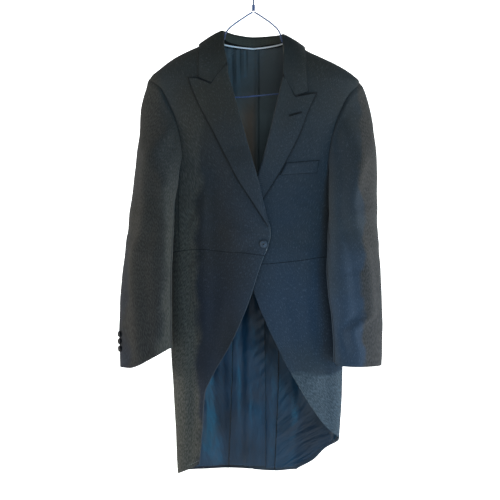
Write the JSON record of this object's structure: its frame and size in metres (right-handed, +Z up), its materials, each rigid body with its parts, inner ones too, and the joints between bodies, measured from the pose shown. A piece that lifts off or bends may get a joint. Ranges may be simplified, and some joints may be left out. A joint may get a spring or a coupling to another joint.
{
  "type": "cutaway coat on a wire hanger",
  "caption": "Formal cutaway coat with peaked lapels, one front button, a waist seam and open tails, lined in satin, hung on a coated wire hanger.",
  "frame": {"origin": "inside top of the hanger's hook, where the rail carries it", "axes": "+Z up, +X to the wearer's left, -Y to the front of the coat"},
  "size_m": [0.596, 0.1648, 1.1565],
  "materials": {
    "charcoal_wool": "matt fine twill",
    "navy_satin": "satin",
    "white_satin": "satin",
    "dark_horn": "polished",
    "blue_coating": "dipped coating on steel wire"
  },
  "bodies": {
    "root": {"back_left": "charcoal_wool", "back_right": "charcoal_wool", "breast_welt": "charcoal_wool", "button_cuff_left_1": "dark_horn", "button_cuff_left_2": "dark_horn", "button_cuff_left_3": "dark_horn", "button_cuff_right_1": "dark_horn", "button_cuff_right_2": "dark_horn", "button_cuff_right_3": "dark_horn", "button_front": "charcoal_wool", "button_tail_left": "charcoal_wool", "button_tail_right": "charcoal_wool", "collar_leaf": "charcoal_wool", "collar_stand": "charcoal_wool", "front_left": "charcoal_wool", "front_right": "charcoal_wool", "hanger_arm_left": "blue_coating", "hanger_arm_right": "blue_coating", "hanger_bar": "blue_coating", "hanger_hook": "blue_coating", "hanger_twist": "blue_coating", "lapel_left": "charcoal_wool", "lapel_right": "charcoal_wool", "lining_back": "navy_satin", "lining_skirt_left": "navy_satin", "lining_skirt_right": "navy_satin", "lining_tail_left": "navy_satin", "lining_tail_right": "navy_satin", "neck_piping": "white_satin", "side_body_left": "charcoal_wool", "side_body_right": "charcoal_wool", "skirt_left": "charcoal_wool", "skirt_right": "charcoal_wool", "sleeve_top_left": "charcoal_wool", "sleeve_top_right": "charcoal_wool", "sleeve_under_left": "charcoal_wool", "sleeve_under_right": "charcoal_wool"}
  },
  "joints": []
}
